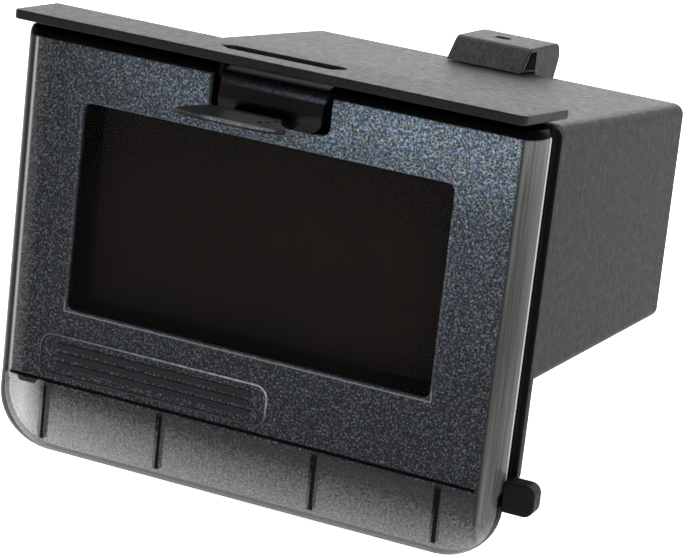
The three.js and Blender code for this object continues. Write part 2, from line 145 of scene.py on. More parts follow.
def prism(name, axis, outlines, low, high, edge=0.6):
    """A solid of one outer outline and its holes, extruded along an axis, with every rim rounded."""
    place = PLACES[axis]
    loops = [clean(outlines[0])] + [clean(list(reversed(hole))) for hole in outlines[1:]]
    arc = [math.pi / 2 * i / STEPS for i in range(STEPS + 1)]
    levels = [(low + edge * (1 - math.cos(t)), edge * (1 - math.sin(t))) for t in arc]
    levels += [(high - edge * (1 - math.cos(t)), edge * (1 - math.sin(t))) for t in reversed(arc)]
    bm = bmesh.new()
    rings = []
    for along, distance in levels:
        rings.append([
            [bm.verts.new(place(a, b, along)) for a, b in (inset(loop, distance) if distance else loop)]
            for loop in loops
        ])
    for lower, upper in zip(rings, rings[1:]):
        for r0, r1 in zip(lower, upper):
            for i in range(len(r0)):
                bm.faces.new((r0[i - 1], r0[i], r1[i], r1[i - 1]))
    for ring in (rings[0], rings[-1]):
        flat = [vert for loop in ring for vert in loop]
        distance = levels[0][1]
        shapes = [[Vector((a, b, 0)) for a, b in inset(loop, distance)] for loop in loops]
        for triangle in tessellate_polygon(shapes):
            bm.faces.new([flat[i] for i in triangle])
    return make_object(name, bm)


def skin(name, rings):
    """A surface through rings of equally many points, closed at its ends."""
    bm = bmesh.new()
    verts = [[bm.verts.new(p) for p in ring] for ring in rings]
    for lower, upper in zip(verts, verts[1:]):
        for i in range(len(lower)):
            bm.faces.new((lower[i - 1], lower[i], upper[i], upper[i - 1]))
    for ring in (verts[0], verts[-1]):
        bm.faces.new(ring)
    return make_object(name, bm)


def combine(piece, tool, operation):
    """Joins, cuts or intersects a piece with a tool, which is used up."""
    modifier = piece.modifiers.new("combine", "BOOLEAN")
    modifier.object = tool
    modifier.operation = operation
    modifier.solver = "EXACT"
    bake(piece)
    bpy.data.objects.remove(tool)
    return piece


def bake(piece):
    """Applies a piece's modifiers."""
    depsgraph = bpy.context.evaluated_depsgraph_get()
    depsgraph.update()
    mesh = bpy.data.meshes.new_from_object(piece.evaluated_get(depsgraph))
    piece.modifiers.clear()
    piece.data = mesh


def soften(piece, width, angle=35):
    """Rounds the edges of a piece where its faces meet at more than angle degrees."""
    modifier = piece.modifiers.new("soften", "BEVEL")
    modifier.width = width * MM
    modifier.segments = BEVEL_STEPS
    modifier.limit_method = "ANGLE"
    modifier.angle_limit = math.radians(angle)
    modifier.use_clamp_overlap = True
    modifier.miter_outer = "MITER_ARC"
    bake(piece)


def copy_of(node):
    """A CAD node's shape with its flat faces merged and its edges rounded."""
    bm = bmesh.new()
    bm.from_mesh(frame["nodes"][node].data)
    bmesh.ops.remove_doubles(bm, verts=bm.verts, dist=1e-6)
    bmesh.ops.dissolve_limit(bm, angle_limit=math.radians(1.5), verts=bm.verts, edges=bm.edges)
    mesh = bpy.data.meshes.new(node)
    bm.to_mesh(mesh)
    bm.free()
    piece = bpy.data.objects.new(node + "_look", mesh)
    bpy.context.scene.collection.objects.link(piece)
    soften(piece, COPY_EDGE)
    return piece


def shade(piece):
    """Smooth shading that keeps flat faces flat and sharp edges sharp."""
    mesh = piece.data
    for polygon in mesh.polygons:
        polygon.use_smooth = True
    mesh.set_sharp_from_angle(angle=math.radians(SHARP_ANGLE))
    modifier = piece.modifiers.new("weigh", "WEIGHTED_NORMAL")
    modifier.keep_sharp = True
    modifier.weight = 80
    bake(piece)


def place_piece(piece, body, material, replaced=()):
    """Shades a piece, gives it its material and puts it on its body."""
    shade(piece)
    piece.data.materials.clear()
    piece.data.materials.append(material)
    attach(piece, body)
    if replaced:
        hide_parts(*replaced)


# ---- Material helpers -----------------------------------------------------------------------------------
class Shader:
    """A material's node tree, with short calls for the nodes that the finishes here use."""

    def __init__(self, name):
        self.material = bpy.data.materials.new(name)
        self.material.use_nodes = True
        self.tree = self.material.node_tree
        self.surface = self.tree.nodes["Principled BSDF"]
        self.place = self.add("ShaderNodeTexCoord").outputs["Object"]

    def add(self, kind, **settings):
        """A new node of a kind, with its settings."""
        node = self.tree.nodes.new(kind)
        for key, value in settings.items():
            setattr(node, key, value)
        return node

    def link(self, source, target):
        """Links an output socket to an input socket."""
        self.tree.links.new(source, target)

    def coordinates(self):
        """Sockets for x, y and z, in metres."""
        node = self.add("ShaderNodeSeparateXYZ")
        self.link(self.place, node.inputs[0])
        return [node.outputs[axis] for axis in "XYZ"]

    def noise(self, scale, detail=3.0, rough=0.6, stretch=None):
        """Smooth noise, about 0 to 1, which stretch can draw out along an axis."""
        node = self.add("ShaderNodeTexNoise")
        node.inputs["Scale"].default_value = scale
        node.inputs["Detail"].default_value = detail
        node.inputs["Roughness"].default_value = rough
        self.link(self.stretched(stretch), node.inputs["Vector"])
        return node.outputs["Fac"]

    def cells(self, scale, randomness):
        """The distance from the middle of the nearest cell."""
        node = self.add("ShaderNodeTexVoronoi", feature="F1")
        node.inputs["Scale"].default_value = scale
        node.inputs["Randomness"].default_value = randomness
        self.link(self.place, node.inputs["Vector"])
        return node.outputs["Distance"]

    def stretched(self, stretch):
        """The place of a point, scaled along each axis."""
        if stretch is None:
            return self.place
        node = self.add("ShaderNodeMapping")
        node.inputs["Scale"].default_value = stretch
        self.link(self.place, node.inputs["Vector"])
        return node.outputs["Vector"]

    def ramp(self, source, stops):
        """stops are (position, colour) pairs, where a colour is one grey or three numbers."""
        node = self.add("ShaderNodeValToRGB")
        elements = node.color_ramp.elements
        while len(elements) < len(stops):
            elements.new(0.5)
        for element, (position, colour) in zip(elements, stops):
            element.position = position
            rgb = (colour,) * 3 if isinstance(colour, (int, float)) else colour
            element.color = (*rgb, 1)
        self.link(source, node.inputs["Fac"])
        return node.outputs["Color"]

    def map(self, source, low, high, to_low, to_high):
        """A value carried from one range to another, and held at its ends."""
        node = self.add("ShaderNodeMapRange")
        for key, value in zip(("From Min", "From Max", "To Min", "To Max"), (low, high, to_low, to_high)):
            node.inputs[key].default_value = value
        self.link(source, node.inputs["Value"])
        return node.outputs["Result"]

    def math(self, operation, a, b=0.0):
        """One arithmetic operation on two values, each a socket or a number."""
        node = self.add("ShaderNodeMath", operation=operation)
        for slot, value in zip(node.inputs, (a, b)):
            if isinstance(value, (int, float)):
                slot.default_value = value
            else:
                self.link(value, slot)
        return node.outputs[0]

    def mix(self, factor, a, b):
        """Mixes two colours, each a socket or three numbers."""
        node = self.add("ShaderNodeMix", data_type="RGBA")
        self.link(factor, node.inputs["Factor"])
        for slot, value in zip((node.inputs[6], node.inputs[7]), (a, b)):
            if isinstance(value, tuple):
                slot.default_value = (*value, 1)
            else:
                self.link(value, slot)
        return node.outputs[2]

    def length(self, a, b):
        """The length of two values taken at right angles."""
        squares = self.math("ADD", self.math("MULTIPLY", a, a), self.math("MULTIPLY", b, b))
        return self.math("SQRT", squares)

    def noise_colour(self, scale):
        """Noise in three colours."""
        node = self.add("ShaderNodeTexNoise")
        node.inputs["Scale"].default_value = scale
        self.link(self.place, node.inputs["Vector"])
        return node.outputs["Color"]

    def multiplied(self, a, b):
        """Multiplies two colours. The second may be three numbers."""
        node = self.add("ShaderNodeMix", data_type="RGBA", blend_type="MULTIPLY")
        node.inputs["Factor"].default_value = 1
        self.link(a, node.inputs[6])
        if isinstance(b, tuple):
            node.inputs[7].default_value = (*b, 1)
        else:
            self.link(b, node.inputs[7])
        return node.outputs[2]

    def band(self, source, low, high, soft):
        """1 between two values and 0 beyond a soft edge."""
        rise = self.map(source, low - soft, low, 0, 1)
        return self.math("MULTIPLY", rise, self.map(source, high, high + soft, 1, 0))

    def frame_line(self, a, b, a_range, b_range, width):
        """A line round a rectangle: 1 on it and 0 elsewhere."""
        outer = self.math("MULTIPLY", self.band(a, *a_range, width), self.band(b, *b_range, width))
        inner = self.math("MULTIPLY", self.band(a, a_range[0] + width, a_range[1] - width, width),
                          self.band(b, b_range[0] + width, b_range[1] - width, width))
        return self.math("SUBTRACT", outer, inner)

    def bump(self, height, distance, strength):
        """Relief from a height, on the surface shader."""
        node = self.add("ShaderNodeBump")
        node.inputs["Distance"].default_value = distance
        node.inputs["Strength"].default_value = strength
        self.link(height, node.inputs["Height"])
        self.link(node.outputs["Normal"], self.surface.inputs["Normal"])

    def set(self, **values):
        """Sets uniform numbers on the surface shader. An underscore stands for a space."""
        for key, value in values.items():
            self.surface.inputs[key.replace("_", " ")].default_value = value

    def drive(self, name, source):
        """Links a socket to an input of the surface shader."""
        self.link(source, self.surface.inputs[name])


def moulded_plastic(name, dark, light, rough, grain_scale, grain_depth, specular, edge=None, side=None):
    """A moulded plastic with a fine spark-eroded grain, speckled and slightly uneven. edge gives the y before
    which, and the half-width beyond which, a lighter edge is painted on as a highlight. side is the half-width
    beyond which the plastic takes its darkest tone and reflects less, as painted shade."""
    s = Shader(name)
    x, y, _ = s.coordinates()
    outward = s.math("ABSOLUTE", x)
    coarse = s.math("MULTIPLY", s.noise(28, 3, 0.6), 0.35)
    speckle = s.math("ADD", coarse, s.math("MULTIPLY", s.noise(620, 2, 0.8), 0.65))
    colour = s.ramp(speckle, [(0.38, dark), (0.62, light)])
    # Painted highlight: a lighter front edge on the sides.
    if edge:
        highlight_y, highlight_half = edge
        near = s.map(y, highlight_y, highlight_y + 0.0004, 1, 0)
        painted_edge_highlight = s.math("MULTIPLY", near, s.map(outward, highlight_half, highlight_half + 0.0005, 0, 1))
        colour = s.mix(painted_edge_highlight, colour, (0.05, 0.05, 0.048))
    s.drive("Roughness", s.map(s.noise(300, 3), 0.3, 0.7, rough - 0.05, rough + 0.07))
    s.bump(s.noise(grain_scale, 4, 0.7), grain_depth, 0.9)
    s.set(Specular_IOR_Level=specular)
    # Painted shade: the sides in the darkest tone, reflecting less.
    if side:
        colour = s.mix(s.map(outward, side, side + 0.0005, 0, 1), colour, dark)
        s.drive("Specular IOR Level", s.map(outward, side, side + 0.0005, specular, specular * 0.45))
    s.drive("Base Color", colour)
    return s.material


def metal(name, colour, rough):
    """A metal with fine brush marks."""
    s = Shader(name)
    streaks = s.noise(300, 4, 0.6, (1, 1, 40))
    s.drive("Base Color", s.ramp(streaks, [(0.25, tuple(c * 0.75 for c in colour)), (0.75, colour)]))
    s.drive("Roughness", s.map(streaks, 0.3, 0.7, rough - 0.07, rough + 0.1))
    s.bump(streaks, 0.00003, 0.5)
    s.set(Metallic=1.0)
    return s.material


# ---- Sizes taken from the frame ---------------------------------------------------------------------------
DOOR_LOW, DOOR_HIGH = span("door_cover")
FLANGE_LOW, FLANGE_HIGH = span("front_flange")
CASE_LOW, CASE_HIGH = span("casing_body")
HOOD_LOW, HOOD_HIGH = span("hood_plate")
PANE_LOW, PANE_HIGH = span("door_window")
LATCH_LOW, LATCH_HIGH = span("latch_tongue")
CLIP_LOW, CLIP_HIGH = span("roof_clip")
GRIP_LOW, GRIP_HIGH = span("hinge_rod_grip")
ROD_LOW, ROD_HIGH = span("hinge_rod")
PIN_LOW, PIN_HIGH = span("latch_pin")
SHROUD_LOW, SHROUD_HIGH = span("display_shroud")
SEAL_LOW, SEAL_HIGH = span("door_seal")

FLANGE_FRONT = -5.5
FLANGE_REAR = -0.4
FLANGE_BOTTOM = -77.5
TONGUE_LEFT, TONGUE_HALF = -21, 24  # the left end of the latch's tongue, and half its barrel's length
DOOR_REAR = -8.8
WALL = 3.0
ROOF_BACK = 32.6  # height of the casing's roof at its back
FLOOR_FRONT = -54.4  # height of the casing's floor at its front
BACK_LEAN = 3.3  # how much further back the casing's back wall is at its foot
RIB_PLACES = (-89, -35, 35, 89)
RIB_TOP, RIB_LOW = -58, -103.2
ROD_RADIUS = 1.6
ROD_BORE = 1.9
KNUCKLE_RADIUS = 4
PIN_BARREL = 2.9  # radius of the latch's barrel
PIN_BORE = 1.7
HINGE_Y = (ROD_LOW.y + ROD_HIGH.y) / 2
HINGE_Z = (ROD_LOW.z + ROD_HIGH.z) / 2
PIN_Y = (PIN_LOW.y + PIN_HIGH.y) / 2
PIN_Z = (PIN_LOW.z + PIN_HIGH.z) / 2
WINDOW = ((PANE_LOW.x - 0.3, PANE_HIGH.x + 0.3), (PANE_LOW.z - 0.3, PANE_HIGH.z + 0.3))


def block(name, x, y, z, edge=0.4):
    """A box with rounded edges between pairs of coordinates."""
    return prism(name, "z", [rounded(x, y, max(edge, 0.2), 3)], *z, edge=edge)


# ---- Casing and front -------------------------------------------------------------------------------------
def casing_ring(from_back, shrink, front=None):
    """A ring round the tapered casing, set in by shrink, at a distance from its leaning back or at a y."""
    slope_roof = (ROOF_BACK - CASE_HIGH.z) / (CASE_HIGH.y - BACK_LEAN)
    slope_floor = (CASE_LOW.z - FLOOR_FRONT) / CASE_HIGH.y
    y_top = CASE_HIGH.y - BACK_LEAN - from_back if front is None else front
    y_low = CASE_HIGH.y - from_back if front is None else front
    z1 = CASE_HIGH.z + slope_roof * y_top - shrink
    z0 = FLOOR_FRONT + slope_floor * y_low + shrink
    half = CASE_HIGH.x - shrink
    outline = rounded((-half, half), (z0, z1), max(5 - shrink, 1.2))
    return [(x, y_low + (y_top - y_low) * (z - z0) / (z1 - z0), z) for x, z in outline]


def make_casing(material):
    """The tapered box, hollow and open in front, with a hole in its back for the rear plate."""
    back_radius, front_edge = 3.5, 0.4
    arc = [math.pi / 2 * i / 5 for i in range(6)]
    outer = [casing_ring(0, front_edge, CASE_LOW.y), casing_ring(0, 0, CASE_LOW.y + front_edge)]
    outer += [
        casing_ring(back_radius * (1 - math.sin(t)), back_radius * (1 - math.cos(t))) for t in arc
    ]
    inner = [casing_ring(0, WALL, -2), casing_ring(WALL, WALL)]
    shell = combine(skin("casing", outer), skin("hollow", inner), "DIFFERENCE")
    plate_hole = block("plate_hole", (-54, 54), (200, 245), (-42, 2), 0)
    shell = combine(shell, plate_hole, "DIFFERENCE")
    place_piece(shell, "housing", material, ["casing_body"])


def make_flange(material):
    """The front plate, with its opening, hinge knuckles, seat pads and screw holes."""
    outline = rounded((FLANGE_LOW.x, FLANGE_HIGH.x), (FLANGE_BOTTOM, FLANGE_HIGH.z), 5)
    opening = rounded((-80, 80), (-43, 43), 2)
    plate = prism("flange", "y", [outline, opening], FLANGE_FRONT, FLANGE_REAR, 0.7)
    knuckle = arc_points(HINGE_Y, HINGE_Z, KNUCKLE_RADIUS, [math.pi * (1 + i / 12) for i in range(13)])
    knuckle_top, inside = -71, FLANGE_FRONT + 1.1
    knuckle += [(inside, FLANGE_BOTTOM + 1), (inside, knuckle_top), (HINGE_Y - KNUCKLE_RADIUS, knuckle_top)]
    for side in (-1, 1):
        piece = prism("knuckle", "x", [knuckle], *sorted((side * 100, side * 106.5)), edge=0.4)
        plate = combine(plate, piece, "UNION")
        x = sorted((side * 98, side * 113))
        pad = prism("pad", "y", [rounded(x, (-58, 58), 2)], FLANGE_REAR - 1, FLANGE_HIGH.y, 0.15)
        plate = combine(plate, pad, "UNION")
    bore = prism("bore", "x", [circle(HINGE_Y, HINGE_Z, ROD_BORE)], -120, 120, 0)
    plate = combine(plate, bore, "DIFFERENCE")
    shank_hole, head_recess = (1.8, 2), (3.4, -3)  # radius and rear y
    for x in (-86, 86):
        for z in (-45, 50):
            for radius, rear in (shank_hole, head_recess):
                hole = prism("hole", "y", [circle(x, z, radius)], -8, rear, 0)
                plate = combine(plate, hole, "DIFFERENCE")
    place_piece(plate, "housing", material, ["front_flange"])


def make_hood(material):
    """The sloping plate over the door, with the latch's slot, a web, a tab and the latch pin's lugs."""
    thick, left, right, back = 3.9, -111.2, 109, HOOD_HIGH.x
    front_y, back_y = HOOD_LOW.y, HOOD_HIGH.y
    back_top = 74.7
    fall = (back_top - HOOD_HIGH.z) / (back_y - front_y)
    tip = 3.2  # how far the round front corners reach
    plan = [(back, back_y), (-back, back_y), (left - 0.5, front_y + tip)]
    plan += curve_points(plan[-1], (left, front_y), (left + tip, front_y), 6)
    plan += [(right - tip, front_y)]
    plan += curve_points(plan[-1], (right, front_y), (right + 0.5, front_y + tip), 6)
    slot = [(25.8, -9), (22.8, -6.2), (-24, -7.5), (-27.8, -12.5), (-22, -18), (22, -17.2)]
    plate = prism("hood", "z", [plan, slot], HOOD_HIGH.z - thick, HOOD_HIGH.z, 0.7)
    for vert in plate.data.vertices:
        vert.co.z += fall * (vert.co.y - front_y * MM)
    web = block("web", (-108, 108), (-5.2, 3.3), (FLANGE_HIGH.z + 0.3, 72.4), 0.3)
    tab = block("tab", (-96, 96), (0.35, 3.3), (HOOD_LOW.z, 71.0), 0.5)
    plate = combine(plate, combine(web, tab, "UNION"), "UNION")
    for side in (-1, 1):
        x = sorted((side * (TONGUE_HALF + 0.4), side * (TONGUE_HALF + 2.2)))
        cheek = [(-15.8, 64.2), (-9.4, 64.2), (-9.4, 67), (-5.8, 67), (-5.8, 72.3), (-15.8, 72.3)]
        lug = prism("lug", "x", [cheek], *x, 0.3)
        plate = combine(plate, lug, "UNION")
    bore = prism("bore", "x", [circle(PIN_Y, PIN_Z, PIN_BORE)], -30, 30, 0)
    plate = combine(plate, bore, "DIFFERENCE")
    place_piece(plate, "housing", material, ["hood_plate"])


# ---- Door -------------------------------------------------------------------------------------------------
FACE_HALF = 105.7  # half the width of the door's flat face, inside its flared sides
FACE_BOTTOM = -97.2
EAR_REACH = 4.5  # from the hinge's axis to the outside of the door's ears


def tray(name, wall, rear):
    """The door's outer form, or its inner one at a wall's depth: a flat face with edges that round back."""
    half, bottom, top = DOOR_HIGH.x - wall, DOOR_LOW.z + wall, DOOR_HIGH.z - wall
    front = DOOR_LOW.y + wall
    side_depth = DOOR_REAR - DOOR_LOW.y - wall
    top_depth = max(4 - wall, 1.5)
    top_corner, low_corner = 5.5 - wall * 0.8, 25 - wall
    rim = rounded((-half, half), (bottom, top), (top_corner, top_corner, low_corner, low_corner))
    face = rounded((-FACE_HALF, FACE_HALF), (FACE_BOTTOM, top - top_depth), (2.5, 2.5, 12, 12))
    rings = []
    arc_steps = 10
    for k in range(arc_steps + 1):
        t = math.pi / 2 * (1 - k / arc_steps)
        ring = []
        for i, ((x0, z0), (x1, z1)) in enumerate(zip(rim, face)):
            upness = max(0.0, math.sin(2 * math.pi * corner_share(i)))
            depth = side_depth + (top_depth - side_depth) * upness ** 2
            pull = 1 - math.cos(t)
            ring.append((x0 + (x1 - x0) * pull, front + depth * (1 - math.sin(t)), z0 + (z1 - z0) * pull))
        rings.append(ring)
    rings.append([(x, rear, z) for x, z in rim])
    return skin(name, rings)


def corner_share(index):
    """Where a point of a rounded outline faces, from 0 to 1 of a turn."""
    quarter, step = divmod(index, CORNER_STEPS + 1)
    return (quarter + step / CORNER_STEPS) / 4


def make_door(material, rib_material):
    """The tray with its window, notch and hinge ears, and four ribs behind its skirt."""
    shell = combine(tray("door", 0, DOOR_REAR), tray("hollow", WALL, DOOR_REAR + 4), "DIFFERENCE")
    tools = [
        prism("window", "y", [rounded(*WINDOW, 3)], DOOR_LOW.y - 5, DOOR_LOW.y + 8, 0),
        prism("notch", "y", [rounded((-26.6, 26.6), (51, 90), 4)], DOOR_LOW.y - 5, 0, 0),
    ]
    for tool in tools:
        shell = combine(shell, tool, "DIFFERENCE")
    soften(shell, 0.6, 42)
    for side in (-1, 1):
        x = sorted((side * 107.5, side * 111.2))
        y, z = (HINGE_Y - EAR_REACH, DOOR_REAR - 0.3), (HINGE_Z - EAR_REACH, HINGE_Z + EAR_REACH)
        ear = block("ear", x, y, z, 0.8)
        shell = combine(shell, ear, "UNION")
    pivot = prism("pivot", "x", [circle(HINGE_Y, HINGE_Z, ROD_BORE)], -120, 120, 0)
    shell = combine(shell, pivot, "DIFFERENCE")
    place_piece(shell, "door", material, ["door_cover"])

    ribs = None
    front, deep = DOOR_LOW.y + WALL - 0.1, DOOR_LOW.y + WALL + 3
    for x in RIB_PLACES:
        side = [(front, RIB_TOP), (front, RIB_LOW)]
        side += curve_points(side[-1], (deep, RIB_LOW), (deep, RIB_LOW + 3), 6)
        side += [(deep, RIB_TOP - 6)]
        side += curve_points(side[-1], (deep, RIB_TOP - 2), (front, RIB_TOP), 6)[:-1]
        rib = prism("rib", "x", [side], x - 1, x + 1, 0.3)
        ribs = rib if ribs is None else combine(ribs, rib, "UNION")
    ribs.name = "door_ribs"
    place_piece(ribs, "door", rib_material)


def make_pane(material):
    """The clear pane in the door."""
    x, z = (PANE_LOW.x, PANE_HIGH.x), (PANE_LOW.z, PANE_HIGH.z)
    pane = prism("window_pane", "y", [rounded(x, z, 2.7)], PANE_LOW.y, PANE_HIGH.y, 0.35)
    place_piece(pane, "door", material, ["door_window"])


def make_badge(frame_material, bar_material):
    """A raised frame round three plain bars."""
    low, high = span("badge_plate")
    x, z = (low.x, high.x), (low.z, high.z)
    outer = rounded(x, z, 5.7)
    line, bar_half = 0.8, 1.3  # width of the frame's line, and half a bar's height
    hollow = rounded((x[0] + line, x[1] - line), (z[0] + line, z[1] - line), 5)
    edging = prism("badge_edging", "y", [outer, hollow], low.y, high.y, 0.3)
    place_piece(edging, "door", frame_material, ["badge_plate"])
    bars = None
    for row in (-68.2, -64.2, -60.2):
        outline = rounded((-84, 5), (row - bar_half, row + bar_half), 1.2, 4)
        bar = prism("bar", "y", [outline], low.y + 0.1, high.y, 0.3)
        bars = bar if bars is None else combine(bars, bar, "UNION")
    bars.name = "badge_bars"
    place_piece(bars, "door", bar_material)


# ---- Latch, clip and hinge rod ----------------------------------------------------------------------------
def make_latch(material):
    """The tongue, bent back over its barrel, with a fan-shaped lip in front. Its barrel has no bore."""
    side = [(PIN_Y, PIN_Z + PIN_BARREL), (-16.5, PIN_Z + PIN_BARREL - 0.3)]
    side += curve_points(side[-1], (-22.2, 69.6), (-23.7, 66.2), 9)
    side += curve_points(side[-1], (-24.7, 64), (-25.3, 60.2), 5)
    side += curve_points(side[-1], (-26.2, 58.6), (-24.6, 55), 6)
    side += [(-24.6, LATCH_LOW.z), (-22.6, LATCH_LOW.z), (-22.6, 60.2)]
    side += curve_points(side[-1], (-20.6, 66.2), (-17, 67), 8)
    side += [(PIN_Y - 0.5, PIN_Z - PIN_BARREL)]
    side += arc_points(PIN_Y, PIN_Z, PIN_BARREL, (-1.2, -0.8, -0.4, 0, 0.4, 0.8, 1.2))
    tongue = prism("latch", "x", [side], TONGUE_LEFT, TONGUE_HALF, 0)
    front = rounded((TONGUE_LEFT, TONGUE_HALF), (LATCH_LOW.z, LATCH_HIGH.z + 4), (1, 1, 4, 6))
    tongue = combine(tongue, prism("front", "y", [front], -40, 0, 0), "INTERSECT")
    soften(tongue, 0.45, 40)
    barrel = prism("barrel", "x", [circle(PIN_Y, PIN_Z, PIN_BARREL)], -TONGUE_HALF, TONGUE_HALF, 0.4)
    tongue = combine(tongue, barrel, "UNION")
    lip_side = [(-23.2, 54.6), (-23.2, LATCH_LOW.z + 0.3), (-26, 52), (-39, 56.7), (-57, 56.9)]
    lip_side += curve_points(lip_side[-1], (-58.6, 57.8), (-57.2, 58.7), 6)
    lip_side += [(-40, 58.7)]
    lip_side += curve_points(lip_side[-1], (-38, 58.6), (-36.5, 58.1), 4)
    lip = prism("lip", "x", [list(reversed(lip_side))], -30, 30, 0)
    plan = [(-14, -22), (-14, -35)]
    plan += curve_points(plan[-1], (-15, -37), (-17, -39.2), 4)
    plan += [(-22.3, -46.8)]
    plan += curve_points(plan[-1], (-26.6, -53.6), (-24, -54.8), 6)
    plan += curve_points(plan[-1], (-16, -58.2), (-4, -58.1), 8)
    plan += curve_points(plan[-1], (12, -58), (18.5, -54.9), 8)
    plan += curve_points(plan[-1], (22.3, -53.3), (20.4, -51.4), 5)
    plan += [(15.7, -44.7), (12, -36.5), (12, -22)]
    lip = combine(lip, prism("plan", "z", [plan], 45, 65, 0), "INTERSECT")
    soften(lip, 0.4, 40)
    for x, y in ((8.6, -49.2), (10.9, -46.7), (12.8, -43.5)):
        dot = prism("dot", "z", [circle(x, y, 1.15, 20)], 57.7, 60, 0)
        lip = combine(lip, dot, "DIFFERENCE")
    tongue = combine(tongue, lip, "UNION")
    spring_room = block("room", (-6, 6), (PIN_Y - 3.3, PIN_Y + 4), (60, 71), 0)
    tongue = combine(tongue, spring_room, "DIFFERENCE")
    place_piece(tongue, "latch", material, ["latch_tongue"])


def make_clip(material):
    """The hook on the back of the roof, with a hollow through it, a slot under it and a window in its top."""
    outer = [(CLIP_LOW.y, 35.4), (231, 33.2), (232, CLIP_LOW.z)]
    outer += [(258.6, CLIP_LOW.z), (258.6, 25.3), (262.6, 33)]
    outer += curve_points(outer[-1], (CLIP_HIGH.y, 38), (CLIP_HIGH.y - 3, 41), 5)
    outer += curve_points(outer[-1], (259, 42.4), (255, 42.7), 4)
    outer += [(225.5, 45.05)]
    outer += curve_points(outer[-1], (222.3, 45.3), (220.6, 43.7), 5)
    hollow = [(215.0, 35.9), (222.6, 43.4), (230.4, 42.8), (230.6, 34.1)]
    slot = [(244, CLIP_LOW.z - 2), (249.5, CLIP_LOW.z - 2), (249.5, 34), (244, 34)]
    clip = prism("clip", "x", [outer], CLIP_LOW.x, CLIP_HIGH.x, 0.8)
    for tool, reach in ((hollow, 30), (slot, 16)):
        clip = combine(clip, prism("tool", "x", [tool], -reach, reach, 0), "DIFFERENCE")
    window = block("window", (-6, 1.5), (236.5, 243), (36, 50), 0)
    clip = combine(clip, window, "DIFFERENCE")
    place_piece(clip, "housing", material, ["roof_clip"])


def make_rod(material, grip_material):
    """The hinge rod and the grip on its right end."""
    rod = prism("rod", "x", [circle(HINGE_Y, HINGE_Z, ROD_RADIUS)], ROD_LOW.x, ROD_HIGH.x, 0.4)
    place_piece(rod, "housing", material, ["hinge_rod"])
    x, z = (GRIP_LOW.x, GRIP_HIGH.x), (GRIP_LOW.z, GRIP_HIGH.z)
    grip = prism("grip", "y", [rounded(x, z, (4.2, 1.2, 1.2, 4.2))], GRIP_LOW.y, GRIP_HIGH.y, 0.9)
    bore = prism("bore", "x", [circle(HINGE_Y, HINGE_Z, ROD_BORE)], 110, 120.5, 0)
    grip = combine(grip, bore, "DIFFERENCE")
    place_piece(grip, "housing", grip_material, ["hinge_rod_grip"])


def make_shroud_and_seal(shroud_material, seal_material):
    """The frame round the display, and the rubber ring behind the door."""
    outer = rounded((SHROUD_LOW.x, SHROUD_HIGH.x), (SHROUD_LOW.z, SHROUD_HIGH.z), 5)
    inner = rounded(*WINDOW, 2.5)
    shroud = prism("shroud", "y", [outer, inner], SHROUD_LOW.y, SHROUD_HIGH.y, 0.5)
    place_piece(shroud, "housing", shroud_material, ["display_shroud"])
    x, z = (SEAL_LOW.x, SEAL_HIGH.x), (SEAL_LOW.z, SEAL_HIGH.z)
    width = 2.8
    ring = [rounded(x, z, 6), rounded((x[0] + width, x[1] - width), (z[0] + width, z[1] - width), 4)]
    seal = prism("seal", "y", ring, SEAL_LOW.y, SEAL_HIGH.y, 0.9)
    place_piece(seal, "housing", seal_material, ["door_seal"])


